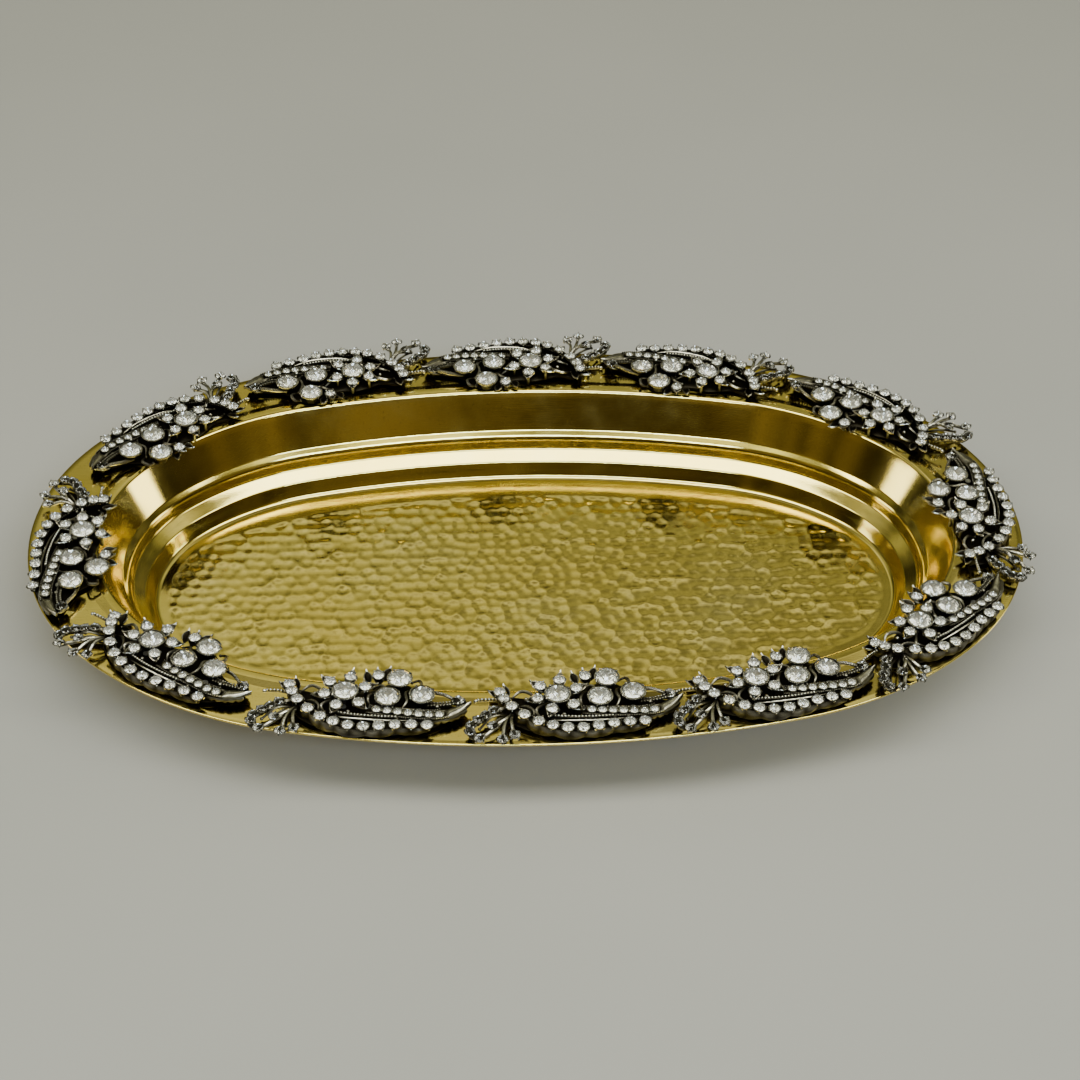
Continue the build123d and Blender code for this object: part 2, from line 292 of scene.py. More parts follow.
class Shells:
    """Vertices and faces of many small closed shells, with a material number for each face."""

    def __init__(self):
        self.verts = []
        self.faces = []
        self.kinds = []

    def grid(self, rows, kind=RUBBED):
        """A skin over rows of points, each row a loop, with flat caps at both ends."""
        base = len(self.verts)
        count = len(rows[0])
        for row in rows:
            self.verts += [tuple(p) for p in row]
        for r in range(len(rows) - 1):
            for c in range(count):
                d = (c + 1) % count
                a = base + r * count
                self.faces.append((a + c, a + d, a + count + d, a + count + c))
                self.kinds.append(kind)
        top = base + (len(rows) - 1) * count
        self.faces.append(tuple(range(base + count - 1, base - 1, -1)))
        self.faces.append(tuple(range(top, top + count)))
        self.kinds += [kind, kind]

    def lathe(self, x, y, profile, steps, kind=RUBBED):
        """A turned shape about the upright line at x, y from (radius, height) pairs, bottom first."""
        rows = []
        for radius, height in profile:
            angles = [2 * pi * k / steps for k in range(steps)]
            rows.append([(x + radius * cos(t), y + radius * sin(t), height) for t in angles])
        self.grid(rows, kind)

    def bead(self, point, radius, steps, rings):
        """A small ball."""
        x, y, z = point
        profile = []
        for k in range(rings + 1):
            t = -pi / 2 + pi * k / rings
            profile.append((max(radius * cos(t), radius * BEAD_POLE), z + radius * sin(t)))
        self.lathe(x, y, profile, steps)

    def tube(self, points, radii, steps, flat=1.0, kind=RUBBED):
        """A round or flattened wire along points, with one radius or one for each point."""
        points = [Vector(p) for p in points]
        if not hasattr(radii, "__len__"):
            radii = [radii] * len(points)
        rows = []
        for number, point in enumerate(points):
            before = points[max(number - 1, 0)]
            after = points[min(number + 1, len(points) - 1)]
            along = (after - before).normalized()
            side = along.cross(Vector((0, 0, 1)))
            side = side.normalized() if side.length > 1e-4 else Vector((1, 0, 0))
            up = side.cross(along)
            row = []
            for k in range(steps):
                t = 2 * pi * k / steps
                row.append(point + side * cos(t) * radii[number] + up * sin(t) * radii[number] * flat)
            rows.append(row)
        self.grid(rows, kind)

    def copy_into(self, other, matrix):
        """Adds a moved copy of these shells to another set."""
        base = len(other.verts)
        other.verts += [tuple(matrix @ Vector(v)) for v in self.verts]
        other.faces += [tuple(base + i for i in face) for face in self.faces]
        other.kinds += self.kinds


def smooth_path(points, steps=6):
    """A smooth curve through points in space or in plan (Catmull-Rom)."""
    points = [Vector(p) for p in points]
    ends = [points[0] * 2 - points[1]] + points + [points[-1] * 2 - points[-2]]
    path = []
    for a, b, c, d in zip(ends, ends[1:], ends[2:], ends[3:]):
        for k in range(steps):
            t = k / steps
            path.append(0.5 * ((2 * b) + (c - a) * t + (2 * a - 5 * b + 4 * c - d) * t * t
                               + (3 * b - a - 3 * c + d) * t * t * t))
    path.append(points[-1])
    return path


def along(path, spacing, start=0.0):
    """Points at even distances along a path, each with its direction."""
    result = []
    travelled, target = 0.0, start
    for p, q in zip(path, path[1:]):
        length = (q - p).length
        while target <= travelled + length and length > 0:
            result.append((p.lerp(q, (target - travelled) / length), (q - p).normalized()))
            target += spacing
        travelled += length
    return result


def bead_row(shells, path, spacing, start, lift, bead, aside=0.0):
    """Evenly spaced beads over a path, or to its left. A bead is (radius, steps, rings)."""
    for p, direction in along(path, spacing, start):
        left = Vector((-direction.y, direction.x, 0)).normalized()
        shells.bead(p + left * aside + Vector((0, 0, lift)), *bead)


def swelling(path, thin, swell):
    """Radii of a wire that is thickest half-way along."""
    return [thin + swell * sin(pi * k / (len(path) - 1)) for k in range(len(path))]


def tapering(path, first, change):
    """Radii of a wire that changes evenly from its first radius."""
    return [first + change * k / (len(path) - 1) for k in range(len(path))]


# ---------------------------------------------------------------------------
# One ornament: its frame has X along the rim, Y in from the rim's edge, Z up from the rim's face.
# ---------------------------------------------------------------------------
SETTING_LINE = 21.0
FLOWER = (0.0, SETTING_LINE, 9.0)
FLOWER_STONE_R = 5.05
LARGE = [(17.8, 19.8, 7.8), (21.9, 32.0, 6.9), (32.1, 22.4, 7.3)]
LARGE_STONE_R = 4.85
PETAL_RING = 8.8
PETAL_ANGLES = [22, 80, 142, 192, 250, 315]
PETAL_HEIGHT = 8.8
SCROLL = [
    (-23.9, 25.3, 7.3), (-22.5, 21.2, 7.6), (-19.7, 16.2, 7.8), (-14.7, 10.8, 8.0),
    (-9.1, 6.7, 7.8), (-3.4, 4.2, 7.6), (2.8, 2.8, 7.2), (9.2, 2.6, 7.0),
    (15.7, 3.4, 7.0), (22.2, 4.6, 6.8), (28.9, 5.6, 6.3), (35.4, 6.3, 5.7),
]
TRIM = [(12.8, 33.8, 6.4), (47.4, 21.8, 5.5)]
SMALL_STONE_R = 2.5
FAN_ROW = [
    (-27.2, 15.9, 6.2), (-30.6, 13.3, 6.0), (-34.0, 11.0, 5.8), (-37.0, 8.2, 5.6), (-37.8, 4.6, 5.4),
]
FAN_TIPS = [(-34.1, 0.2, 5.8), (-24.8, -1.7, 6.5), (-19.4, 0.8, 6.2), (-28.2, 6.0, 7.0)]
FAN_STONE_R = 2.25
FAN_BEADED = (-36.5, -24.0)
FAN_PLAIN_WIRES = [
    ((-19.0, 12.0, 3.6), (-22.5, 8.0, 5.4), (-23.0, 3.8, 3.4)),
    ((-20.0, 14.0, 3.8), (-26.0, 10.0, 5.6), (-31.0, 4.6, 3.4)),
    ((-21.0, 15.0, 3.8), (-28.0, 12.5, 5.2), (-33.6, 7.6, 3.2)),
]
PAVE = [
    (13.8, 13.4, 6.4), (18.2, 12.9, 6.4), (22.6, 12.6, 6.3), (27.0, 12.3, 6.2),
    (31.4, 12.1, 6.0), (35.8, 12.2, 5.7), (40.1, 12.8, 5.6),
]
PAVE_STONE_R = 1.8
FAN_ROOT = (-19.0, 14.5, 5.0)
LEAF_OUTER = [(9.5, 11.4), (18.0, 10.4), (27.0, 9.7), (36.0, 9.8), (43.0, 11.4), (48.6, 14.8), (53.0, 20.2)]
LEAF_INNER = [
    (10.5, 15.6), (18.0, 15.2), (27.0, 14.9), (36.0, 14.9), (41.6, 16.4), (46.4, 19.2), (52.6, 21.0),
]
LEAF_PLAIN_FROM = 0.64
LEAF_RAILED = [
    (0.0, -0.9), (0.04, 0.35), (0.16, 0.5), (0.3, -0.15), (0.5, -0.25),
    (0.7, -0.15), (0.84, 0.5), (0.96, 0.35), (1.0, -0.9),
]
PLATE_OUTLINE = [
    (-22.0, 27.0), (-25.0, 18.5), (-19.0, 11.0), (-9.5, 5.5), (3.0, 2.6), (16.0, 2.4), (30.0, 5.2),
    (39.0, 9.2), (46.5, 17.0), (48.0, 20.5), (42.0, 22.6), (34.0, 25.0), (26.0, 32.5), (20.0, 33.5),
    (14.0, 31.5), (7.0, 27.5), (-1.0, 28.5), (-8.0, 26.5), (-14.0, 25.0),
]
PLATE_STEPS = 5
PLATE_CENTRE = (8.0, 17.0, 0)
PLATE_EDGE = [(0.3, 1.0), (0.96, 1.0), (1.0, 1.4), (0.99, 1.9), (0.94, 2.3), (0.8, 2.7), (0.3, 3.2)]
GALLERY_FOOT = 0.3
CUP_FOOT = 1.6
CUP_DEPTH = 0.76
CLAWS = 4
CLAW_SHARES = (0.12, 0.135, 0.13, 0.08)
BEZEL_CLAW_RADII = (0.4, 0.48, 0.42, 0.24)
BEZEL_BEAD_PITCH = 0.92
SCREW_PLACES = [(-0.5, 17.0), (31.5, 16.5)]
BOSS = [(2.3, 0.02), (2.3, 3.0)]
CURLS = [
    ((-19.5, 24.0, 3.4), (-15.0, 26.5, 5.4), (-10.5, 24.0, 5.6), (-9.8, 20.5, 4.4)),
    ((-18.0, 18.0, 3.8), (-13.5, 17.5, 5.4), (-10.5, 14.5, 5.4), (-11.0, 11.0, 4.0)),
    ((-6.5, 10.5, 4.0), (-9.5, 14.0, 5.6), (-7.0, 17.0, 6.2), (-4.0, 18.5, 6.0)),
    ((10.5, 17.0, 4.0), (9.5, 20.0, 5.8), (11.5, 24.0, 5.6), (15.0, 26.0, 4.0)),
    ((24.0, 15.6, 4.4), (26.0, 19.5, 5.6), (25.0, 24.0, 5.6), (27.5, 28.0, 4.0)),
    ((11.0, 28.0, 3.8), (14.5, 28.5, 5.2), (16.5, 26.0, 5.2), (15.2, 24.0, 4.2)),
    ((27.0, 27.5, 3.6), (31.0, 30.0, 4.6), (30.0, 33.5, 4.0), (27.0, 33.0, 3.2)),
]
BUDS = [(-13.0, 22.0, 5.2), (-16.0, 14.6, 5.0), (2.0, 11.6, 5.6), (26.6, 14.4, 5.4), (38.8, 17.4, 5.0)]
EDGE_PETALS = [(-26.0, 26.5, 150), (-21.5, 28.5, 100), (8.0, 34.5, 105), (16.6, 37.2, 70)]


def petal_spots():
    """Places of the six small stones round the flower, with the way each petal points."""
    spots = []
    for degrees in PETAL_ANGLES:
        t = radians(degrees)
        spots.append((FLOWER[0] + PETAL_RING * cos(t), FLOWER[1] + PETAL_RING * sin(t), PETAL_HEIGHT, t))
    return spots


def claw(shells, spot, angle, path, radii):
    """One claw at an angle round a stone, along (radius, height) pairs."""
    x, y = spot[:2]
    shells.tube([(x + r * cos(angle), y + r * sin(angle), height) for r, height in path], radii, 6)


def claw_cup(shells, spot, radius, foot, turn=0.0):
    """A tapered cup for one small stone on a stalk, with claws bent over its edge."""
    x, y, z = spot[:3]
    shells.lathe(x, y, [
        (0.75, foot), (0.8, z - 2.2), (1.25, z - 1.75), (radius * 0.86, z - 0.75), (radius + 0.18, z - 0.3),
        (radius + 0.22, z - 0.12), (radius + 0.04, z - 0.08), (radius * 0.98, z - 0.25),
        (radius * 0.3, z - CUP_DEPTH * radius),
    ], 14)
    path = [(radius * 0.9, z - 1.5), (radius + 0.36, z - 0.4), (radius + 0.2, z + 0.3)]
    path.append((radius - 0.35, z + 0.6))
    radii = [radius * share for share in CLAW_SHARES]
    for k in range(CLAWS):
        claw(shells, spot, turn + 2 * pi * (k + 0.5) / CLAWS, path, radii)


def bezel(shells, spot, radius, foot):
    """A smooth deep bezel for a large stone, with a beaded lip and four claws."""
    x, y, z = spot
    shells.lathe(x, y, [
        (radius * 0.5, foot), (radius * 0.62, z - 3.2), (radius * 0.9, z - 1.6), (radius + 0.3, z - 0.6),
        (radius + 0.42, z - 0.1), (radius + 0.34, z + 0.16), (radius + 0.08, z + 0.2), (radius, z - 0.2),
        (radius * 0.22, z - 0.74 * radius),
    ], 30)
    beads = int(2 * pi * (radius + 0.5) / BEZEL_BEAD_PITCH)
    for k in range(beads):
        t = 2 * pi * k / beads
        shells.bead((x + (radius + 0.42) * cos(t), y + (radius + 0.42) * sin(t), z - 0.22), 0.36, 6, 4)
    path = [(radius + 0.5, z - 1.2), (radius + 0.6, z), (radius + 0.2, z + 0.6), (radius - 0.5, z + 0.85)]
    for k in range(CLAWS):
        claw(shells, spot, 2 * pi * (k + 0.35) / CLAWS, path, BEZEL_CLAW_RADII)


def petal(shells, spot, length=5.4, width=2.7):
    """A pointed, hollowed petal behind a small stone, its tip away from the flower."""
    x, y, z, t = spot
    out, side = Vector((cos(t), sin(t), 0)), Vector((-sin(t), cos(t), 0))
    centre = Vector((x, y, z))
    rows = []
    steps = 9
    for k in range(steps + 1):
        s = k / steps
        reach = -3.4 + (length + 3.4) * s
        half = width * (sin(pi * min(s * 1.04 + 0.06, 1.0)) ** 0.75) * (1 - 0.35 * s) + 0.05
        rise = -2.2 + 0.6 * s + 1.5 * s * s * s
        row = []
        for j in range(7):
            w = -1 + j / 3
            cupped = 1.15 * w * w * sin(pi * min(s + 0.12, 1))
            row.append(centre + out * reach + side * half * w + Vector((0, 0, rise + cupped)))
        under = [p - Vector((0, 0, 0.7)) for p in reversed(row)]
        rows.append(row + under)
    shells.grid(rows)
    rim = [row[0] for row in rows[1:]] + [rows[-1][3]] + [row[6] for row in reversed(rows[1:])]
    shells.tube([p + Vector((0, 0, 0.05)) for p in rim], 0.28, 5)


def fluted_wall(shells, path, low, high, thick, pitch):
    """The scalloped gallery under a row of stones: upright flutes outside and small arches at its foot."""
    rows = []
    travelled = 0.0
    for number, point in enumerate(path):
        before, after = path[max(number - 1, 0)], path[min(number + 1, len(path) - 1)]
        direction = (after - before).normalized()
        outward = Vector((direction.y, -direction.x, 0)).normalized()
        if number:
            travelled += (point - path[number - 1]).length
        flute = abs(sin(pi * travelled / pitch))
        bulge = thick * (0.55 + 0.4 * flute)
        foot = low + 1.3 * abs(sin(pi * travelled / (2 * pitch))) ** 1.5
        crown = high(point) if callable(high) else high
        here = Vector((point.x, point.y, 0))
        row = [
            here - outward * thick * 0.5 + Vector((0, 0, foot)),
            here + outward * bulge * 0.75 + Vector((0, 0, foot)),
            here + outward * bulge * 1.05 + Vector((0, 0, foot + 0.35 * (crown - foot))),
            here + outward * bulge * 1.1 + Vector((0, 0, foot + 0.75 * (crown - foot))),
            here + outward * bulge * 0.7 + Vector((0, 0, crown)),
            here - outward * thick * 0.5 + Vector((0, 0, crown)),
        ]
        rows.append(row)
    shells.grid(rows, kind=DARK)


def scroll(shells):
    """The long scroll: a row of claw-set stones on a fluted gallery, with a beaded edge."""
    path = smooth_path(SCROLL, 10)
    fluted_wall(shells, path, GALLERY_FOOT, lambda p: p.z - 1.6, 1.8, 6.3)
    for number, spot in enumerate(SCROLL):
        claw_cup(shells, spot, SMALL_STONE_R, 2.0, turn=0.4 * number)
    bead_row(shells, path, 1.15, 0.4, -1.5, (0.42, 6, 4), 1.9)


def ridge(shells):
    """The beaded line between the scroll and the leaf, on its own low wall, and a plain blade beside it."""
    line = [(-3.5, 10.6, 5.6), (3.0, 9.4, 5.9), (9.0, 8.8, 6.0), (16.0, 8.7, 5.9), (23.0, 9.2, 5.5)]
    line = smooth_path(line, 6)
    shells.tube(line, swelling(line, 0.3, 0.25), 8, 1.3, DARK)
    bead_row(shells, line, 1.42, 0.2, 0.85, (0.62, 8, 5))
    low = [Vector((p.x, p.y, 0)) for p in line]
    fluted_wall(shells, low, 1.6, 5.4, 1.0, 1.6)
    blade = [(-1.5, 8.4, 5.4), (5.0, 7.2, 6.0), (13.0, 6.7, 6.1), (20.0, 6.9, 6.0), (27.0, 8.2, 5.2)]
    blade = smooth_path(blade, 6)
    shells.tube(blade, swelling(blade, 0.2, 0.35), 8, 1.6)


def leaf_height(share):
    """Height of the leaf's face from its root, 0, to its tip, 1: it falls gently, then turns up."""
    return 5.3 - 1.2 * share + 1.3 * share**6


def leaf_blade(shells, outer, inner):
    """The leaf's body: raised rails each side of a trough, then a plain domed tip."""
    rows = []
    for number, (p, q) in enumerate(zip(outer, inner)):
        s = number / (len(outer) - 1)
        top = leaf_height(s)
        plain = min(max((s - LEAF_PLAIN_FROM) / 0.08, 0.0), 1.0)
        span = q - p
        row = []
        for share, railed in LEAF_RAILED:
            domed = 1.7 * sin(pi * share) ** 0.6 - 0.9
            lift = railed + (domed - railed) * plain
            row.append(p + span * share + Vector((0, 0, top + lift)))
        floor = Vector((0, 0, top - 2.0 + 0.9 * s))
        row += [p + span * 0.85 + floor, p + span * 0.5 + floor, p + span * 0.15 + floor]
        rows.append(row)
    shells.grid(rows)


def leaf(shells):
    """The crescent leaf, with beads on its rails, its small stones' seats and a fluted skirt."""
    outer = smooth_path([(*p, 0) for p in LEAF_OUTER], 6)
    inner = smooth_path([(*p, 0) for p in LEAF_INNER], 6)
    leaf_blade(shells, outer, inner)
    heights = [leaf_height(k / (len(outer) - 1)) for k in range(len(outer))]
    for side, stop in ((outer, 26), (inner, 24)):
        line = [Vector((p.x, p.y, height + 0.62)) for p, height in zip(side, heights)][:stop]
        bead_row(shells, line, 0.98, 0.3, 0.0, (0.4, 6, 4))
    for number, (x, y, z) in enumerate(PAVE):
        shells.lathe(x, y, [
            (1.2, 3.6), (PAVE_STONE_R + 0.1, z - 0.7), (PAVE_STONE_R + 0.3, z + 0.1),
            (PAVE_STONE_R + 0.02, z + 0.12), (PAVE_STONE_R * 0.3, z - CUP_DEPTH * PAVE_STONE_R),
        ], 12)
        if number:
            middle = (Vector(PAVE[number - 1]) + Vector((x, y, z))) / 2
            for offset in (-1.35, 1.35):
                shells.bead(middle + Vector((0, offset, 0.35)), 0.44, 6, 4)
    skirt = [Vector((p.x, p.y, 0)) for p in outer]
    fluted_wall(shells, skirt[:-3], 2.0, 4.6, 1.0, 1.5)


def stem(shells):
    """The beaded stem behind the third large stone, ending in a small stone, and a lower one by it."""
    line = smooth_path([(33.0, 26.0, 4.4), (39.0, 25.4, 5.0), (43.5, 23.6, 5.0), (47.4, 21.8, 4.0)], 6)
    shells.tube(line, 0.75, 8)
    bead_row(shells, line, 1.1, 4.0, 0.7, (0.46, 7, 4))
    lower = smooth_path([(34.0, 18.2, 4.6), (40.0, 18.7, 4.7), (44.6, 19.9, 4.6), (48.6, 21.2, 4.4)], 6)
    shells.tube(lower, tapering(lower, 0.9, -0.4), 7, kind=DARK)
    for aside in (-0.75, 0.75):
        bead_row(shells, lower, 1.3, 1.0, 0.75, (0.55, 7, 4), aside)
    x, y, z = TRIM[1]
    claw_cup(shells, TRIM[1], SMALL_STONE_R, CUP_FOOT, turn=0.8)
    petal(shells, (x, y, z - 0.4, radians(-10)), 4.0, 2.4)


def fan_rail(shells):
    """The fan's bowed rail with its row of stones, and beads along both its sides."""
    under_stones = [(x, y, z - 1.7) for x, y, z in FAN_ROW]
    rail = smooth_path([(-20.5, 17.6, 4.6)] + under_stones + [(-36.4, 1.6, 3.2)], 6)
    shells.tube(rail, [1.25] * (len(rail) - 4) + [1.0, 0.8, 0.5, 0.2], 8, 1.2, DARK)
    for number, spot in enumerate(FAN_ROW):
        claw_cup(shells, spot, FAN_STONE_R, 2.4, turn=0.9 * number)
    for aside in (-1.4, 1.4):
        for p, direction in along(rail, 1.05, 2.0):
            left = Vector((-direction.y, direction.x, 0)).normalized()
            if FAN_BEADED[0] < p.x < FAN_BEADED[1]:
                shells.bead(p + left * aside + Vector((0, 0, 0.7)), 0.4, 6, 4)


def fan(shells):
    """The fan: its rail, bowed wires that end in claw-set stones, plain wires and a beaded spur."""
    fan_rail(shells)
    root = Vector(FAN_ROOT)
    for number, spot in enumerate(FAN_TIPS):
        tip = Vector(spot) - Vector((0, 0, 1.6))
        away = (tip - root).normalized()
        across = Vector((-away.y, away.x, 0))
        middle = root.lerp(tip, 0.5) + Vector((0, 0, 1.9)) + across * (1.5 if number in (0, 3) else -1.2)
        wire = smooth_path([root, middle, tip], 8)
        shells.tube(wire, tapering(wire, 0.62, 0.28), 8, kind=DARK)
        claw_cup(shells, spot, FAN_STONE_R, spot[2] - 2.0, turn=0.7 * number)
    for points in FAN_PLAIN_WIRES:
        shells.tube(smooth_path(points, 7), 0.55, 7, kind=DARK)
        shells.bead(points[-1], 0.8, 8, 6)
    spur = smooth_path([(-21.0, 22.4, 4.0), (-27.5, 22.9, 4.6), (-34.2, 22.7, 4.8)], 6)
    shells.tube(spur, tapering(spur, 0.7, -0.25), 8, kind=DARK)
    bead_row(shells, spur, 1.5, 1.6, 0.7, (0.66, 8, 5))
    shells.bead(spur[-1], 0.95, 9, 6)


def back_plate(shells):
    """The dark plate under everything, thinned to a rounded edge."""
    path = smooth_path([(*p, 0) for p in PLATE_OUTLINE + PLATE_OUTLINE[:3]], PLATE_STEPS)
    loop = path[2 * PLATE_STEPS:(2 + len(PLATE_OUTLINE)) * PLATE_STEPS]
    centre = Vector(PLATE_CENTRE)
    rows = []
    for share, height in PLATE_EDGE:
        rows.append([centre + (p - centre) * share + Vector((0, 0, height)) for p in loop])
    shells.grid(rows, kind=DARK)


def filigree(shells):
    """Curled wires, small buds and petals that fill the gaps between the larger parts."""
    for points in CURLS:
        line = smooth_path(points, 7)
        shells.tube(line, swelling(line, 0.35, 0.4), 7, kind=DARK)
        shells.bead(line[-1], 0.75, 8, 5)
        shells.bead(line[0], 0.6, 8, 5)
    for x, y, z in BUDS:
        shells.bead((x, y, z), 0.9, 9, 6)
        shells.lathe(x, y, [(0.5, 2.2), (0.6, z)], 7)
    for x, y, degrees in EDGE_PETALS:
        petal(shells, (x, y, 5.6, radians(degrees)), 3.2, 1.9)


def casting_shells():
    """Everything that is cast in one piece."""
    shells = Shells()
    back_plate(shells)
    scroll(shells)
    ridge(shells)
    leaf(shells)
    stem(shells)
    fan(shells)
    filigree(shells)
    bezel(shells, FLOWER, FLOWER_STONE_R, CUP_FOOT)
    for spot in LARGE:
        bezel(shells, spot, LARGE_STONE_R, CUP_FOOT)
    for spot in petal_spots():
        petal(shells, spot)
        claw_cup(shells, spot, SMALL_STONE_R, CUP_FOOT, turn=spot[3] + pi / 4)
    claw_cup(shells, TRIM[0], SMALL_STONE_R, CUP_FOOT)
    petal(shells, (*TRIM[0], radians(100)), 4.6, 2.8)
    for x, y in SCREW_PLACES:
        shells.lathe(x, y, BOSS, 20, kind=DARK)
    return shells


# A stone's cut, as shares of its radius, and how far the set stones are tipped, in radians.
CROWN = 0.34
PAVILION = 0.7
GIRDLE = 0.04
STONE_TIP = 0.05


def brilliant(radius):
    """A round brilliant with its girdle at Z = 0: glass crown, foiled pavilion."""
    shells = Shells()
    crown, pavilion, girdle = CROWN * radius, PAVILION * radius, GIRDLE * radius
    eighth = pi / 4

    def circle(count, share, height, turn=0.0):
        step = 2 * pi / count
        return [(radius * share * cos(k * step + turn), radius * share * sin(k * step + turn), height)
                for k in range(count)]

    table = circle(8, 0.56, crown + girdle)
    stars = circle(8, 0.8, 0.6 * crown + girdle, eighth / 2)
    upper, lower = circle(16, 1.0, girdle), circle(16, 1.0, -girdle)
    mains = circle(8, 0.55, -0.36 * pavilion - girdle, eighth / 2)
    verts = table + stars + upper + lower + mains + [(0, 0, -pavilion - girdle)]
    t, s, u, l, m, culet = 0, 8, 16, 32, 48, 56
    faces, kinds = [tuple(range(8))], [GLASS]
    for k in range(8):
        n = (k + 1) % 8
        p = (k - 1) % 8
        g0, g1, g2 = 2 * k, 2 * k + 1, (2 * k + 2) % 16
        faces += [(t + n, t + k, s + k), (t + k, s + p, u + g0, s + k)]
        faces += [(s + k, u + g0, u + g1), (s + k, u + g1, u + g2)]
        kinds += [GLASS] * 4
        faces += [(u + g0, l + g0, l + g1, u + g1), (u + g1, l + g1, l + g2, u + g2)]
        kinds += [FOIL] * 2
        faces += [(culet, m + k, l + g0, m + p), (m + k, l + g1, l + g0), (m + k, l + g2, l + g1)]
        kinds += [FOIL] * 3
    shells.verts, shells.faces, shells.kinds = verts, faces, kinds
    return shells


def stones(seats, seed):
    """Many brilliants in one set, each turned and tipped a little differently."""
    rng = np.random.default_rng(seed)
    shells = Shells()
    cut = {radius: brilliant(radius) for radius in sorted({radius for radius, _ in seats})}
    for radius, spot in seats:
        tip = Matrix.Rotation(rng.normal(0, STONE_TIP), 4, "X")
        tip = tip @ Matrix.Rotation(rng.normal(0, STONE_TIP), 4, "Y")
        turn = Matrix.Rotation(rng.uniform(0, pi / 4), 4, "Z")
        cut[radius].copy_into(shells, Matrix.Translation(spot[:3]) @ tip @ turn)
    return shells


# ---------------------------------------------------------------------------
# Materials. The tones are (place, colour) stops over a noise pattern or, for silver, over its wear.
# ---------------------------------------------------------------------------
BRASS_TONES = [(0.3, (0.84, 0.66, 0.17)), (0.55, (0.88, 0.72, 0.22)), (0.75, (0.86, 0.73, 0.28))]
BRASS_DULL = [(0.28, 0.72), (0.4, 1.0)]
SILVER_TONES = [
    (0.42, (0.010, 0.008, 0.005)), (0.66, (0.055, 0.048, 0.032)), (0.86, (0.20, 0.185, 0.14)),
    (1.0, (0.62, 0.60, 0.52)),
]
SILVER_MOTTLE = 0.35
# How much darker the silver gets towards the bottom of the casting, near the rim's face.
LOW_DARKENING = 0.45
GLASS_TONES = [(0.3, (0.99, 0.99, 0.98)), (0.8, (1.0, 1.0, 1.0))]
GLASS_IOR = 1.56
FOIL_TONES = [(0.35, (0.90, 0.90, 0.86)), (0.6, (0.98, 0.98, 0.96))]
STEEL_TONES = [(0.3, (0.30, 0.29, 0.26)), (0.6, (0.62, 0.61, 0.58))]
FLOOR_TONES = [(0.3, (0.35, 0.345, 0.33)), (0.7, (0.38, 0.37, 0.355))]


def add_node(tree, kind, inputs, settings):
    """Adds a node, links the inputs that are sockets and sets the others."""
    node = tree.nodes.new(kind)
    for key, value in settings.items():
        setattr(node, key, value)
    for key, value in (inputs or {}).items():
        socket = input_named(node, key)
        if isinstance(value, bpy.types.NodeSocket):
            tree.links.new(value, socket)
        else:
            socket.default_value = value
    return node


def input_named(node, key):
    """An input by number, or the enabled one with this name."""
    if isinstance(key, int):
        return node.inputs[key]
    return next(socket for socket in node.inputs if socket.name == key and socket.enabled)


def output_named(node, name):
    """The enabled output with this name."""
    return next(socket for socket in node.outputs if socket.name == name and socket.enabled)


def material(name):
    """A new node material: returns it with its node tree, its Principled shader and a node adder."""
    made = bpy.data.materials.new(name)
    made.use_nodes = True
    tree = made.node_tree
    shader = tree.nodes["Principled BSDF"]

    def add(kind, inputs=None, **settings):
        return add_node(tree, kind, inputs, settings)

    return made, tree, shader, add


def ramp(add, value, stops):
    """A colour ramp over a value, from (place, grey or colour) stops."""
    node = add("ShaderNodeValToRGB", {"Fac": value})
    band = node.color_ramp
    while len(band.elements) < len(stops):
        band.elements.new(0.5)
    for element, (place, colour) in zip(band.elements, stops):
        element.position = place
        element.color = (*colour, 1) if hasattr(colour, "__len__") else (colour, colour, colour, 1)
    return node.outputs["Color"]


def noise(add, place, scale, detail, roughness=0.5):
    """A noise pattern's value."""
    settings = {"Vector": place, "Scale": scale, "Detail": detail, "Roughness": roughness}
    return add("ShaderNodeTexNoise", settings).outputs["Fac"]


def brass():
    """Polished brass sheet: warm tarnish in patches, fine wiping scratches and faint smudges."""
    made, tree, shader, add = material("polished_brass")
    place = add("ShaderNodeTexCoord").outputs["Object"]
    patch = noise(add, place, 16.0, 6.0, 0.6)
    smudge = noise(add, place, 60.0, 4.0, 0.55)
    speck = noise(add, place, 900.0, 3.0)
    stretched = add("ShaderNodeMapping", {"Vector": place, "Scale": (60.0, 2600.0, 2600.0)})
    scratch = noise(add, stretched.outputs[0], 1.0, 3.0)
    tone = ramp(add, patch, BRASS_TONES)
    dull = ramp(add, speck, BRASS_DULL)
    colour = add("ShaderNodeMix", {"Factor": 0.6, "A": tone, "B": dull},
                 data_type="RGBA", blend_type="MULTIPLY")
    tree.links.new(output_named(colour, "Result"), shader.inputs["Base Color"])
    rough = add("ShaderNodeMapRange", {"Value": smudge, "From Min": 0.3, "From Max": 0.75,
                                       "To Min": 0.06, "To Max": 0.15})
    tree.links.new(rough.outputs[0], shader.inputs["Roughness"])
    shader.inputs["Metallic"].default_value = 1.0
    ripple = noise(add, place, 45.0, 2.0)
    first = add("ShaderNodeBump", {"Height": scratch, "Strength": 0.035, "Distance": 0.0004})
    second = add("ShaderNodeBump", {"Height": ripple, "Strength": 0.12, "Distance": 0.0006,
                                    "Normal": first.outputs[0]})
    tree.links.new(second.outputs[0], shader.inputs["Normal"])
    return made


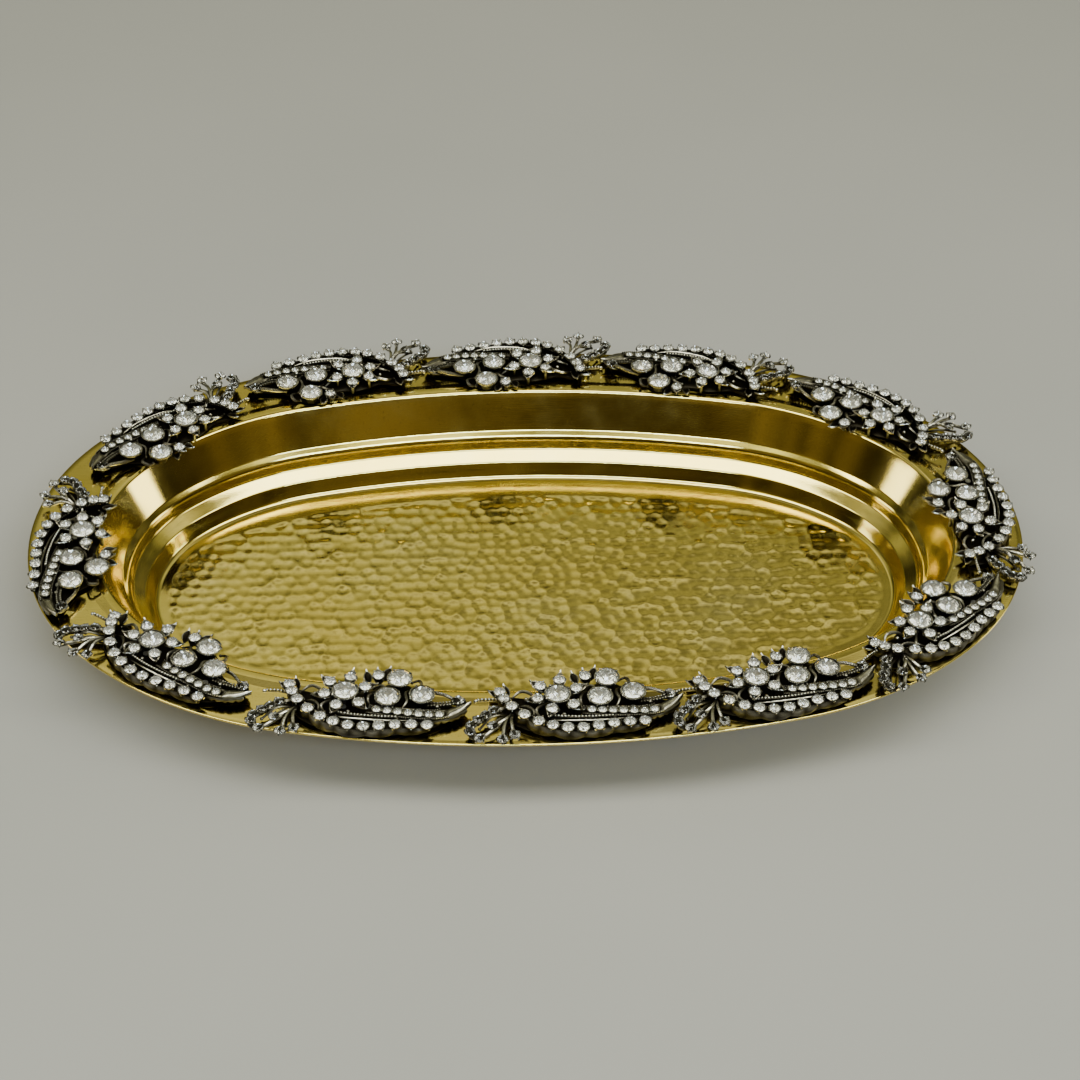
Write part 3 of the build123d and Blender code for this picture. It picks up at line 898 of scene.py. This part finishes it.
def antique_silver(name, stain):
    """Antiqued silver: bright where rubbed, brown-black in the recesses, pitted from casting."""
    made, tree, shader, add = material(name)
    place = add("ShaderNodeTexCoord").outputs["Object"]
    hollow = add("ShaderNodeAmbientOcclusion", {"Distance": 0.0045}, samples=8)
    edge = add("ShaderNodeNewGeometry").outputs["Pointiness"]
    grain = noise(add, place, 700.0, 5.0, 0.65)
    cloud = noise(add, place, 150.0, 3.0)
    rubbed = add("ShaderNodeMapRange", {"Value": edge, "From Min": 0.47, "From Max": 0.56,
                                        "To Min": -0.12, "To Max": 0.22})
    open_ness = add("ShaderNodeMath", {0: hollow.outputs["AO"], 1: rubbed.outputs[0]}, operation="ADD")
    mottled = add("ShaderNodeMath", {0: cloud, 1: 0.5}, operation="SUBTRACT")
    mottled = add("ShaderNodeMath", {0: mottled.outputs[0], 1: SILVER_MOTTLE}, operation="MULTIPLY")
    height = add("ShaderNodeSeparateXYZ", {0: place})
    # Darker towards the bottom: the lower parts of the casting, near the rim's face, are made darker.
    low_down = add("ShaderNodeMapRange", {"Value": height.outputs["Z"], "From Min": 0.002,
                                          "From Max": 0.0076, "To Min": -LOW_DARKENING - stain, "To Max": -stain})
    wear = add("ShaderNodeMath", {0: open_ness.outputs[0], 1: mottled.outputs[0]}, operation="ADD")
    wear = add("ShaderNodeMath", {0: wear.outputs[0], 1: low_down.outputs[0]}, operation="ADD")
    tone = ramp(add, wear.outputs[0], SILVER_TONES)
    tree.links.new(tone, shader.inputs["Base Color"])
    rough = add("ShaderNodeMapRange", {"Value": wear.outputs[0], "From Min": 0.4, "From Max": 1.0,
                                       "To Min": 0.55, "To Max": 0.22})
    tree.links.new(rough.outputs[0], shader.inputs["Roughness"])
    shader.inputs["Metallic"].default_value = 1.0
    bump = add("ShaderNodeBump", {"Height": grain, "Strength": 0.55, "Distance": 0.0002})
    tree.links.new(bump.outputs[0], shader.inputs["Normal"])
    return made


def crystal_glass():
    """Clear cut glass, with the faint dust and fine wear of handled stones."""
    made, tree, shader, add = material("crystal_glass")
    place = add("ShaderNodeTexCoord").outputs["Object"]
    dust = noise(add, place, 500.0, 4.0)
    rough = add("ShaderNodeMapRange", {"Value": dust, "From Min": 0.5, "From Max": 0.8,
                                       "To Min": 0.0, "To Max": 0.05})
    tree.links.new(rough.outputs[0], shader.inputs["Roughness"])
    tone = ramp(add, dust, GLASS_TONES)
    tree.links.new(tone, shader.inputs["Base Color"])
    shader.inputs["Transmission Weight"].default_value = 1.0
    shader.inputs["IOR"].default_value = GLASS_IOR
    return made


def foil():
    """The silver foil behind a stone, slightly mottled."""
    made, tree, shader, add = material("stone_foil")
    place = add("ShaderNodeTexCoord").outputs["Object"]
    cloud = noise(add, place, 400.0, 3.0)
    tone = ramp(add, cloud, FOIL_TONES)
    tree.links.new(tone, shader.inputs["Base Color"])
    shader.inputs["Metallic"].default_value = 0.76
    shader.inputs["Roughness"].default_value = 0.12
    return made


def screw_steel():
    """Zinc plated screw heads, a little scuffed."""
    made, tree, shader, add = material("screw_steel")
    place = add("ShaderNodeTexCoord").outputs["Object"]
    scuff = noise(add, place, 900.0, 4.0)
    tone = ramp(add, scuff, STEEL_TONES)
    tree.links.new(tone, shader.inputs["Base Color"])
    rough = add("ShaderNodeMapRange", {"Value": scuff, "To Min": 0.25, "To Max": 0.5})
    tree.links.new(rough.outputs[0], shader.inputs["Roughness"])
    shader.inputs["Metallic"].default_value = 1.0
    return made


def pale_floor():
    """A plain pale floor with a very faint mottle."""
    made, tree, shader, add = material("pale_floor")
    place = add("ShaderNodeTexCoord").outputs["Object"]
    cloud = noise(add, place, 3.0, 3.0)
    tone = ramp(add, cloud, FLOOR_TONES)
    tree.links.new(tone, shader.inputs["Base Color"])
    shader.inputs["Roughness"].default_value = 0.75
    return made


# ---------------------------------------------------------------------------
# Objects
# ---------------------------------------------------------------------------
def mesh_object(name, verts, faces, kinds, materials, sharp=None):
    """A mesh object from millimetre vertices: smooth, flat, or smooth with sharp edges over an angle."""
    mesh = bpy.data.meshes.new(name)
    mesh.from_pydata([(x * MM, y * MM, z * MM) for x, y, z in verts], [], faces)
    for made in materials:
        mesh.materials.append(made)
    if kinds:
        mesh.polygons.foreach_set("material_index", kinds)
    tidy = bmesh.new()
    tidy.from_mesh(mesh)
    bmesh.ops.recalc_face_normals(tidy, faces=tidy.faces)
    tidy.to_mesh(mesh)
    tidy.free()
    mesh.polygons.foreach_set("use_smooth", [sharp != 0] * len(mesh.polygons))
    if sharp:
        mesh.set_sharp_from_angle(angle=radians(sharp))
    mesh.update()
    made = bpy.data.objects.new(name, mesh)
    bpy.context.scene.collection.objects.link(made)
    return made


# Twelve castings stand along the setting line, each a little off its even place: along, in and turned.
FIRST_CASTING = 71.0
HAND_SET = [
    (-4, 3, 3), (-6, 0, 2), (-4, -1, -5), (-5, -3, 1), (-6, -4, -1), (-6, 3, 2),
    (4, 4, -9), (3, 0, 3), (6, -2, 4), (8, 0, 1), (6, -1, -1), (2, 0, 1),
]


def casting_matrices():
    """Where each casting goes, as a matrix from its own frame to the row's, in metres."""
    length = sum((radius - SETTING_LINE) * (stop - start) for _, _, radius, start, stop in ARCS)
    matrices = []
    for number, (shift, inward, turn) in enumerate(HAND_SET):
        distance = FIRST_CASTING + number * length / len(HAND_SET) + shift
        for cx, cy, radius, start, stop in ARCS:
            run = (radius - SETTING_LINE) * (stop - start)
            if distance <= run:
                break
            distance -= run
        angle = start + distance / (radius - SETTING_LINE)
        edge = (CENTRE_X + cx + radius * cos(angle), CENTRE_Y + cy + radius * sin(angle), RIM_HEIGHT)
        to_rim = Matrix.Translation(Vector(edge) * MM) @ Matrix.Rotation(angle + pi / 2, 4, "Z")
        inwards = Matrix.Translation((0, (SETTING_LINE + inward) * MM, 0))
        turned = inwards @ Matrix.Rotation(radians(turn), 4, "Z")
        matrices.append(to_rim @ turned @ Matrix.Translation((0, -SETTING_LINE * MM, 0)))
    return matrices


def place_copy(name, mesh, matrix, node):
    """One placed piece that stands for a CAD node."""
    piece = bpy.data.objects.new(name, mesh)
    bpy.context.scene.collection.objects.link(piece)
    piece.matrix_world = matrix
    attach(piece, "root")
    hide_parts(node)


def build_pan(made_of):
    """The pan's piece."""
    verts, faces = pan_mesh()
    piece = mesh_object("brass_pan", verts, faces, None, [made_of], 50)
    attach(piece, "root")
    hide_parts("tray_pan")


def build_ornaments():
    """The twelve castings and their three sets of stones."""
    silver = [antique_silver("antique_silver", 0.0), antique_silver("oxidised_silver", 0.12)]
    glass, backing = crystal_glass(), foil()
    shells = casting_shells()
    sets = {
        "crystals_large": [(FLOWER_STONE_R, FLOWER)] + [(LARGE_STONE_R, spot) for spot in LARGE],
        "crystals_small": [(SMALL_STONE_R, spot) for spot in petal_spots() + SCROLL + TRIM]
        + [(FAN_STONE_R, spot) for spot in FAN_ROW + FAN_TIPS],
        "crystals_pave": [(PAVE_STONE_R, spot) for spot in PAVE],
    }
    pattern = mesh_object("casting_pattern", shells.verts, shells.faces, shells.kinds, silver, 40)
    matrices = casting_matrices()
    for number, matrix in enumerate(matrices, 1):
        place_copy(f"casting_{number:02d}", pattern.data, matrix,
                   f"ornament_casting_{number:02d}")
    bpy.data.objects.remove(pattern)
    for seed, (name, seats) in enumerate(sets.items()):
        for number, matrix in enumerate(matrices, 1):
            cut = stones(seats, 100 * seed + number)
            group = mesh_object("pattern", cut.verts, cut.faces, cut.kinds, [glass, backing], 0)
            place_copy(f"{name.replace('crystals', 'stones')}_{number:02d}", group.data, matrix,
                       f"{name}_{number:02d}")
            bpy.data.objects.remove(group)


def dress_screws():
    """The fixing screws stay as the CAD made them, in their own metal."""
    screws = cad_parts["ornament_screws"]
    steel = screw_steel()
    if not screws.material_slots:
        screws.data.materials.append(steel)
    for slot in screws.material_slots:
        slot.material = steel


# ---------------------------------------------------------------------------
# Floor, light and camera
# ---------------------------------------------------------------------------
FLOOR_SIZE = 16.0
WARM = (1.0, 0.95, 0.76)

# Each softbox: its name, place, target, size, watts and colour.
SOFTBOXES = [
    ("overhead", (0.0, -0.44, 1.9), (0, -0.44, 0), (4.2, 0.68), 58, (0.99, 1.0, 0.86)),
    ("window", (0.25, -1.68, 1.54), (0, 0, 0), (1.6, 0.3), 23, (0.72, 0.86, 1.0)),
    ("left_card", (-1.7, 0.05, 0.3), (0, 0, 0.03), (0.5, 0.42), 3.0, WARM),
    ("right_card", (1.7, 0.1, 0.3), (0, 0, 0.03), (0.5, 0.42), 3.4, WARM),
]

# The room's colours, 0 at the horizon and 1 straight up, beyond the tray and on the viewer's side.
FAR_SIDE = [(0.0, (0.07, 0.065, 0.04)), (0.25, (0.09, 0.085, 0.05)), (0.50, (0.10, 0.095, 0.05)),
            (0.60, (0.26, 0.255, 0.13)), (0.67, (0.34, 0.335, 0.18)), (0.76, (0.62, 0.61, 0.44)),
            (0.84, (0.40, 0.39, 0.26)), (0.96, (0.26, 0.26, 0.22))]
NEAR_SIDE = [(0.0, (0.02, 0.012, 0.003)), (0.2, (0.035, 0.025, 0.006)), (0.36, (0.12, 0.088, 0.022)),
             (0.46, (0.17, 0.125, 0.037)), (0.66, (0.22, 0.19, 0.08)), (0.73, (1.2, 1.18, 0.62)),
             (0.80, (1.05, 1.02, 0.55)), (0.84, (0.15, 0.135, 0.07)), (0.97, (0.5, 0.5, 0.42))]


def look_at(thing, target, roll=0.0):
    """Turns a light or camera so that its -Z points at the target."""
    way = Vector(target) - thing.location
    turn = way.to_track_quat("-Z", "Y").to_matrix() @ Matrix.Rotation(roll, 3, "Z")
    thing.rotation_euler = turn.to_euler()


def softbox(name, place, target, size, watts, colour):
    """A soft rectangular light."""
    light = bpy.data.lights.new(name, "AREA")
    light.shape = "RECTANGLE"
    light.size, light.size_y = size
    light.energy = watts
    light.color = colour
    thing = bpy.data.objects.new(name, light)
    bpy.context.scene.collection.objects.link(thing)
    thing.location = place
    look_at(thing, target)


def build_studio():
    """The floor, the four softboxes and the room round them."""
    bpy.ops.mesh.primitive_plane_add(size=FLOOR_SIZE, location=(0, 0, 0))
    ground = bpy.context.object
    ground.name = "floor"
    ground.data.materials.append(pale_floor())
    for settings in SOFTBOXES:
        softbox(*settings)
    build_world()


def build_world():
    """The room: darker and warmer low down on the viewer's side, paler high up, and uneven all over."""
    world = bpy.data.worlds.new("studio")
    bpy.context.scene.world = world
    world.use_nodes = True
    tree = world.node_tree

    def add(kind, inputs=None, **settings):
        return add_node(tree, kind, inputs, settings)

    way = add("ShaderNodeTexCoord").outputs["Generated"]
    split = add("ShaderNodeSeparateXYZ", {0: way})
    far = ramp(add, split.outputs["Z"], FAR_SIDE)
    near = ramp(add, split.outputs["Z"], NEAR_SIDE)
    side = add("ShaderNodeMapRange", {"Value": split.outputs["Y"], "From Min": -0.45, "From Max": 0.2})
    both = add("ShaderNodeMix", {"Factor": side.outputs[0], "A": near, "B": far}, data_type="RGBA")
    cloud = noise(add, way, 6.0, 2.0)
    uneven = ramp(add, cloud, [(0.36, 0.34), (0.5, 0.9), (0.64, 1.55)])
    mixed = add("ShaderNodeMix", {"Factor": 1.0, "A": output_named(both, "Result"), "B": uneven},
                data_type="RGBA", blend_type="MULTIPLY")
    tree.links.new(output_named(mixed, "Result"), tree.nodes["Background"].inputs["Color"])
    tree.nodes["Background"].inputs["Strength"].default_value = 1.0


# The viewing angle: how far round, how high and how far the camera stands from the rim's middle.
VIEW_YAW = 0.0687
VIEW_ELEVATION = 0.7113
VIEW_DISTANCE = 1.1717
VIEW_ROLL = 0.024
VIEW_AIM = (0.00525, -0.00554)
VIEW_LENS = 86.4


def build_camera():
    """The camera, from the viewing angle."""
    data = bpy.data.cameras.new("camera")
    data.lens = VIEW_LENS
    data.sensor_width = 36.0
    data.clip_start = 0.05
    camera = bpy.data.objects.new("camera", data)
    bpy.context.scene.collection.objects.link(camera)
    to_row = Matrix.Rotation(-VIEW_YAW, 3, "Z")
    centre = Vector((CENTRE_X, CENTRE_Y, RIM_HEIGHT)) * MM
    aim = to_row @ Vector((VIEW_AIM[0], VIEW_AIM[1], 0))
    away, up = VIEW_DISTANCE * cos(VIEW_ELEVATION), VIEW_DISTANCE * sin(VIEW_ELEVATION)
    camera.location = centre + to_row @ Vector((VIEW_AIM[0], VIEW_AIM[1] - away, up))
    look_at(camera, centre + aim, VIEW_ROLL)
    bpy.context.scene.camera = camera


build_camera()
build_pan(brass())
build_ornaments()
dress_screws()
build_studio()
bpy.context.view_layer.update()
